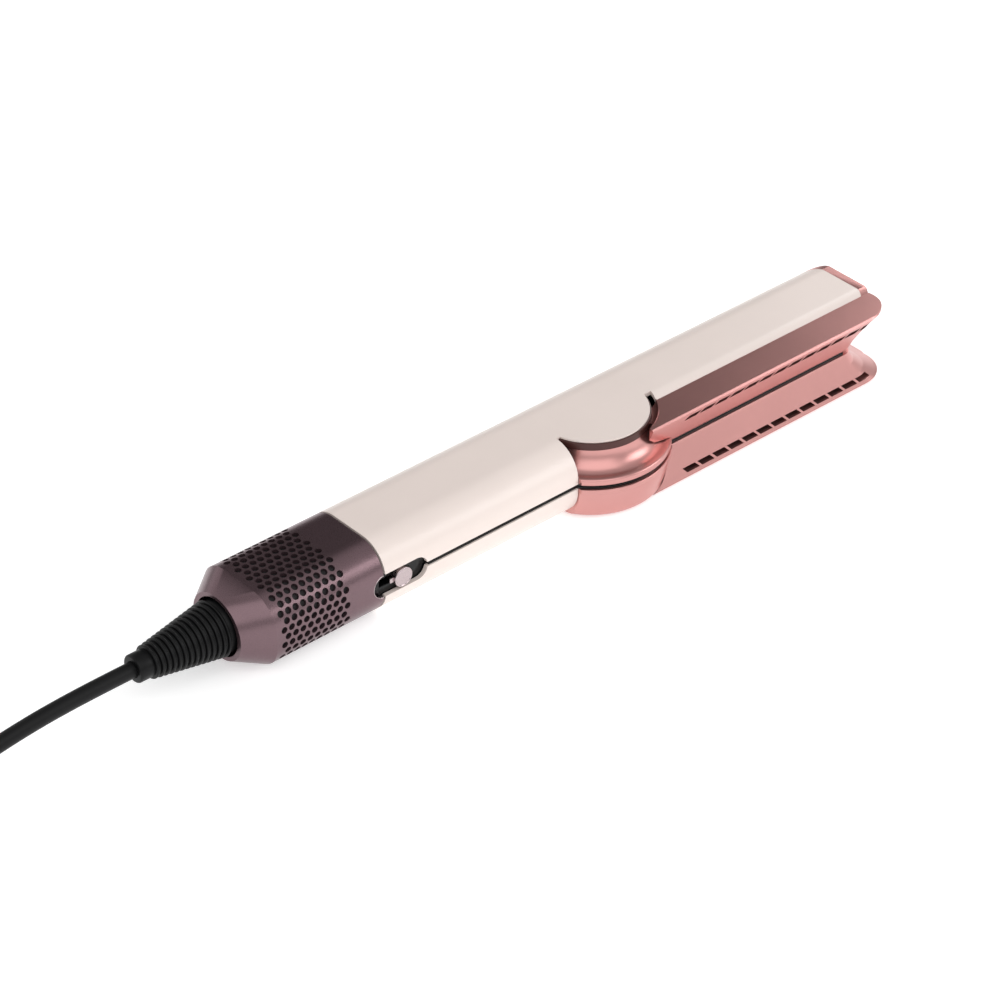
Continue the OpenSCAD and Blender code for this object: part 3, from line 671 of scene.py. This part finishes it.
def knob():
    """The lock knob: a short bright cylinder with a rim and a slightly sunken face."""
    outer = [(0.0, 0.0), (0.0, 4.0), (1.9, 4.0), *arc((1.9, 3.7), (0.4, 0.3), 90, 0, 4)]
    outer += [(2.3, 3.45), (2.15, 3.25), (2.15, 0.0)]
    return spun(at(9, -18.8, 0), -AXIS_Y, AXIS_Z, outer, 64)


def box_piece(low, high, edge, segments=3):
    """A block between two corners in millimetres, with rounded edges."""
    deselect()
    low, high = Vector(low), Vector(high)
    middle = (low + high) / 2
    bpy.ops.mesh.primitive_cube_add(size=1, location=at(*middle), scale=(high - low) * MM)
    piece = bpy.context.object
    settle(piece)
    modified(piece, "BEVEL", width=edge * MM, segments=segments, limit_method="ANGLE",
             angle_limit=math.radians(30))
    smooth(piece)
    return piece


def joined(pieces):
    """Several meshes made one."""
    deselect()
    for piece in pieces:
        piece.select_set(True)
    bpy.context.view_layer.objects.active = pieces[0]
    bpy.ops.object.join()
    return pieces[0]


def window_lip():
    """The bright lip round the cage's end of the lock window."""
    ring = [(0.0, 4.6), (0.0, 5.0), (0.5, 5.05), (0.95, 4.95), (1.1, 4.75), (0.9, 4.55), (0.0, 4.6)]
    piece = spun(at(0.2, -19.7, 0), -AXIS_Y, AXIS_Z, ring, 96)
    cut(piece, at(-0.05, 0, 0), AXIS_X)
    smooth(piece, 50)
    return piece


def ring_mark(x, radius):
    """A raised ring on the underside."""
    deselect()
    bpy.ops.mesh.primitive_torus_add(
        location=at(x, 0, -15.12), major_radius=radius * MM, minor_radius=0.16 * MM,
        major_segments=40, minor_segments=8,
    )
    piece = bpy.context.object
    settle(piece)
    smooth(piece)
    return piece


def bar_mark(x, y, length, width):
    """A raised bar on the underside: its middle, and its sizes along the tool and across it."""
    half_length, half_width = length / 2, width / 2
    return box_piece(
        (x - half_length, y - half_width, -15.25), (x + half_length, y + half_width, -15.0), 0.08, 1
    )


def power_marks():
    """A ring with a bar."""
    return [ring_mark(44, 1.5), bar_mark(44, 1.65, 0.4, 1.5)]


def heat_marks():
    """A cross."""
    return [bar_mark(56, 0, 0.4, 3.2), bar_mark(56, 0, 3.2, 0.4)]


def airflow_marks():
    """Two rings, one inside the other."""
    return [ring_mark(68, 1.8), ring_mark(68, 0.8)]


# ---- camera ----

CAMERA_PLACE = (-0.7432, -0.8320, 0.8034)
LOOK_DOWN = 35.5
CAMERA_TURN = -41.32
SENSOR = 36.0


# ---- operators ----


class STRAIGHTENER_OT_cord(bpy.types.Operator):
    """Lay the power cord, with its folded hank"""

    bl_idname = "straightener.cord"
    bl_label = "Cord"

    def execute(self, context):
        settings = context.scene.straightener_cord
        cord, length = make_cord(settings)
        return {"FINISHED"}


class STRAIGHTENER_OT_shells(bpy.types.Operator):
    """Soften the edges of the two moulded shells"""

    bl_idname = "straightener.shells"
    bl_label = "Shells"

    def execute(self, context):
        edge = context.scene.straightener_finish.edge
        for side in ("upper", "lower"):
            piece = softened(side + "_shell", edge)
            finish_piece(piece, side + "_shell_skin", side + "_arm", "cream_shell", side + "_shell")
        return {"FINISHED"}


class STRAIGHTENER_OT_wings(bpy.types.Operator):
    """Soften the edges of the two slotted wings"""

    bl_idname = "straightener.wings"
    bl_label = "Wings"

    def execute(self, context):
        edge = context.scene.straightener_finish.edge
        for side in ("upper", "lower"):
            piece = softened(side + "_wing", edge)
            finish_piece(piece, side + "_wing_skin", side + "_arm", "rose_metal", side + "_wing")
        return {"FINISHED"}


class STRAIGHTENER_OT_cage(bpy.types.Operator):
    """Give the perforated intake cage its smooth skin and the lip of its lock window"""

    bl_idname = "straightener.cage"
    bl_label = "Intake cage"

    def execute(self, context):
        piece = softened("intake_cage", 0)
        finish_piece(piece, "intake_cage_skin", "cage", "plum_metal", "intake_cage")
        finish_piece(window_lip(), "window_lip", "cage", "knob_metal")
        return {"FINISHED"}


class STRAIGHTENER_OT_drums(bpy.types.Operator):
    """Turn the two rose drums that carry the round shoulder"""

    bl_idname = "straightener.drums"
    bl_label = "Drums"

    def execute(self, context):
        for side, make in (("upper", upper_drum), ("lower", lower_drum)):
            piece = make()
            trimmed(piece)
            smooth(piece, 32)
            finish_piece(piece, side + "_drum_skin", side + "_arm", "rose_metal", side + "_drum")
        band = trim()
        trimmed(band)
        smooth(band, 40)
        finish_piece(band, "upper_trim_skin", "upper_arm", "dark_trim", "upper_trim")
        wall = collar()
        cut(wall, at(0, WING_EDGE, 0), AXIS_Y)
        # The wall fades out along a slope, where the wing's lip meets the cove
        cut(wall, at(125.4, 0, 15), Vector((-1, 0, -1.4)).normalized())
        smooth(wall, 50)
        finish_piece(wall, "collar_wall", "upper_arm", "rose_metal")
        return {"FINISHED"}


class STRAIGHTENER_OT_boot(bpy.types.Operator):
    """Turn the ribbed cord boot"""

    bl_idname = "straightener.boot"
    bl_label = "Cord boot"

    def execute(self, context):
        piece = boot()
        smooth(piece, 40)
        finish_piece(piece, "cord_boot_skin", "base", "black_rubber", "cord_boot")
        return {"FINISHED"}


class STRAIGHTENER_OT_plug(bpy.types.Operator):
    """Turn the plug and round its prongs"""

    bl_idname = "straightener.plug"
    bl_label = "Plug and prongs"

    def execute(self, context):
        piece = plug()
        smooth(piece, 40)
        finish_piece(piece, "plug_skin", "base", "black_rubber", "plug_body")
        prongs = softened("plug_pins", 0.0007, 40, 50, 4)
        finish_piece(prongs, "plug_prongs", "base", "bright_steel", "plug_pins")
        return {"FINISHED"}


class STRAIGHTENER_OT_tie(bpy.types.Operator):
    """Soften the strap that holds the hank and add its tab"""

    bl_idname = "straightener.tie"
    bl_label = "Hank tie"

    def execute(self, context):
        strap = softened("cord_tie", 0.0004, 30, 40, 3)
        tab = box_piece((-305.8, -40, -1.6), (-294.2, -22, -0.9), 0.3)
        piece = joined([strap, tab])
        finish_piece(piece, "cord_tie_skin", "base", "tie_strap", "cord_tie")
        return {"FINISHED"}


class STRAIGHTENER_OT_lock(bpy.types.Operator):
    """Turn the lock knob and soften the black pocket behind it"""

    bl_idname = "straightener.lock"
    bl_label = "Lock"

    def execute(self, context):
        piece = knob()
        smooth(piece, 30)
        stub = box_piece((3.4, -20.0, -1.0), (6.0, -18.8, 1.0), 0.3)
        piece = joined([piece, stub])
        finish_piece(piece, "lock_knob_skin", "lock", "knob_metal", "lock_knob")
        pocket = softened("lock_bezel", 0.0003)
        finish_piece(pocket, "lock_bezel_skin", "base", "black_plastic", "lock_bezel")
        return {"FINISHED"}


class STRAIGHTENER_OT_controls(bpy.types.Operator):
    """Round the three push buttons and the display, with plain marks"""

    bl_idname = "straightener.controls"
    bl_label = "Controls"

    def execute(self, context):
        for name, slot, marks in (
            ("power_button", "rose_button", power_marks),
            ("heat_button", "dark_button", heat_marks),
            ("airflow_button", "dark_button", airflow_marks),
        ):
            piece = joined([softened(name, 0.0003, 30, 35, 3), *marks()])
            finish_piece(piece, name + "_skin", name, slot, name)
        window = softened("display_window", 0.00025)
        finish_piece(window, "display_skin", "lower_arm", "display_glass", "display_window")
        return {"FINISHED"}


class STRAIGHTENER_OT_carried(bpy.types.Operator):
    """Give every carried CAD node the finish of its material slot"""

    bl_idname = "straightener.carried"
    bl_label = "Carried nodes"

    def execute(self, context):
        for part in frame["record"]["subparts"]:
            node = frame["nodes"][part["node"]]
            node.data.materials.clear()
            node.data.materials.append(MATERIALS[part["material_slot"]])
        return {"FINISHED"}


class STRAIGHTENER_OT_studio(bpy.types.Operator):
    """Set the pale floor, the surroundings and the soft lights"""

    bl_idname = "straightener.studio"
    bl_label = "Studio"

    def execute(self, context):
        settings = context.scene.straightener_studio
        make_floor()
        make_world(settings)
        make_lights(settings)
        return {"FINISHED"}


class STRAIGHTENER_OT_camera(bpy.types.Operator):
    """Place the camera"""

    bl_idname = "straightener.camera"
    bl_label = "Camera"

    def execute(self, context):
        settings = context.scene.straightener_studio
        data = bpy.data.cameras.new("camera")
        data.lens = settings.lens
        data.sensor_width = SENSOR
        camera = bpy.data.objects.new("camera", data)
        context.scene.collection.objects.link(camera)
        camera.location = CAMERA_PLACE
        camera.rotation_euler = (math.radians(90 - LOOK_DOWN), 0, math.radians(CAMERA_TURN))
        data.clip_start = 0.05
        data.clip_end = 20
        context.scene.camera = camera
        return {"FINISHED"}


def make_floor():
    """A wide, pale floor."""
    deselect()
    bpy.ops.mesh.primitive_plane_add(size=6, location=(0, 0, -0.0004))
    floor = bpy.context.object
    edit()
    bpy.ops.mesh.subdivide(number_cuts=3)
    done()
    settle(floor)
    floor.name = "floor"
    material, tree, shader = new_material("floor_paper")
    shader.inputs["Base Color"].default_value = (0.86, 0.86, 0.86, 1)
    shader.inputs["Roughness"].default_value = 0.8
    shader.inputs["Specular IOR Level"].default_value = 0.1
    shader.inputs["Emission Color"].default_value = (1, 1, 1, 1)
    shader.inputs["Emission Strength"].default_value = 0.45
    floor.data.materials.append(material)


def make_world(settings):
    """A pale room with one dark patch behind the tool; the camera sees it plain white."""
    world = bpy.data.worlds.new("studio")
    bpy.context.scene.world = world
    world.use_nodes = True
    tree = world.node_tree
    place = tree.nodes.new("ShaderNodeTexCoord")
    turn = tree.nodes.new("ShaderNodeVectorMath")
    turn.operation = "DOT_PRODUCT"
    turn.inputs[1].default_value = Vector((0.44, 0.67, 0.59)).normalized()
    tree.links.new(place.outputs["Generated"], turn.inputs[0])
    angle = tree.nodes.new("ShaderNodeMath")
    angle.operation = "ARCCOSINE"
    tree.links.new(turn.outputs["Value"], angle.inputs[0])
    spread = tree.nodes.new("ShaderNodeMapRange")
    spread.interpolation_type = "SMOOTHSTEP"
    spread.inputs["From Min"].default_value = math.radians(9)
    spread.inputs["From Max"].default_value = math.radians(44)
    spread.inputs["To Min"].default_value = 0.0
    spread.inputs["To Max"].default_value = 1.0
    tree.links.new(angle.outputs[0], spread.inputs["Value"])
    strength = tree.nodes.new("ShaderNodeMath")
    strength.operation = "MULTIPLY"
    strength.inputs[1].default_value = settings.world
    tree.links.new(spread.outputs["Result"], strength.inputs[0])
    back = tree.nodes["Background"]
    back.inputs["Color"].default_value = (1, 1, 1, 1)
    tree.links.new(strength.outputs[0], back.inputs["Strength"])
    plain = tree.nodes.new("ShaderNodeBackground")
    plain.inputs["Strength"].default_value = 1.0
    path = tree.nodes.new("ShaderNodeLightPath")
    mix = tree.nodes.new("ShaderNodeMixShader")
    tree.links.new(path.outputs["Is Camera Ray"], mix.inputs["Fac"])
    tree.links.new(back.outputs[0], mix.inputs[1])
    tree.links.new(plain.outputs[0], mix.inputs[2])
    tree.links.new(mix.outputs[0], tree.nodes["World Output"].inputs["Surface"])
    bpy.context.scene.view_settings.view_transform = "Standard"


def softbox(name, place, aim, size, power):
    """A square area light at a place, pointed at another."""
    data = bpy.data.lights.new(name, "AREA")
    data.shape = "RECTANGLE"
    data.size, data.size_y = size
    data.energy = power
    light = bpy.data.objects.new(name, data)
    bpy.context.scene.collection.objects.link(light)
    light.location = place
    way = Vector(aim) - Vector(place)
    light.rotation_euler = way.to_track_quat("-Z", "Y").to_euler()


def make_lights(settings):
    """Three wide softboxes round the tool, and a small one that the wing tips reflect."""
    softbox("key", (-0.5, -0.9, 1.1), (0, 0, 0), (1.7, 1.7), settings.key)
    softbox("fill", (0.9, -0.8, 0.6), (0, 0, 0), (0.8, 0.6), settings.key * 0.5)
    softbox("back", (-0.3, 1.1, 0.9), (0, 0, 0), (1.6, 1.2), settings.key * 0.4)
    softbox("tip", (1.02, 0.50, 0.56), (0.12, 0, 0), (0.30, 0.60), settings.key * 0.30)


class STRAIGHTENER_PT_sidebar(bpy.types.Panel):
    """Lists the straightener's pieces"""

    bl_idname = "STRAIGHTENER_PT_sidebar"
    bl_label = "Air Straightener"
    bl_space_type = "VIEW_3D"
    bl_region_type = "UI"
    bl_category = "Air Straightener"

    def draw(self, context):
        for operator in OPERATORS:
            self.layout.operator(operator.bl_idname)
        for settings in ("straightener_cord", "straightener_finish", "straightener_studio"):
            group = getattr(context.scene, settings)
            for name in group.__annotations__:
                self.layout.prop(group, name)


SETTINGS = (CordSettings, FinishSettings, StudioSettings)
OPERATORS = (
    STRAIGHTENER_OT_camera, STRAIGHTENER_OT_cord, STRAIGHTENER_OT_carried, STRAIGHTENER_OT_shells,
    STRAIGHTENER_OT_wings, STRAIGHTENER_OT_cage, STRAIGHTENER_OT_drums, STRAIGHTENER_OT_boot,
    STRAIGHTENER_OT_plug, STRAIGHTENER_OT_tie, STRAIGHTENER_OT_lock, STRAIGHTENER_OT_controls,
    STRAIGHTENER_OT_studio,
)


def register():
    for kind in (*SETTINGS, *OPERATORS, STRAIGHTENER_PT_sidebar):
        bpy.utils.register_class(kind)
    bpy.types.Scene.straightener_cord = bpy.props.PointerProperty(type=CordSettings)
    bpy.types.Scene.straightener_finish = bpy.props.PointerProperty(type=FinishSettings)
    bpy.types.Scene.straightener_studio = bpy.props.PointerProperty(type=StudioSettings)


def unregister():
    del bpy.types.Scene.straightener_studio
    del bpy.types.Scene.straightener_finish
    del bpy.types.Scene.straightener_cord
    for kind in reversed((*SETTINGS, *OPERATORS, STRAIGHTENER_PT_sidebar)):
        bpy.utils.unregister_class(kind)


def main():
    register()
    make_materials(bpy.context.scene.straightener_finish)
    bpy.ops.straightener.camera()
    bpy.ops.straightener.plug()
    bpy.ops.straightener.tie()
    bpy.ops.straightener.cord()
    bpy.ops.straightener.carried()
    bpy.ops.straightener.shells()
    bpy.ops.straightener.wings()
    bpy.ops.straightener.cage()
    bpy.ops.straightener.drums()
    bpy.ops.straightener.boot()
    bpy.ops.straightener.lock()
    bpy.ops.straightener.controls()
    bpy.ops.straightener.studio()


if __name__ == "__main__":
    main()
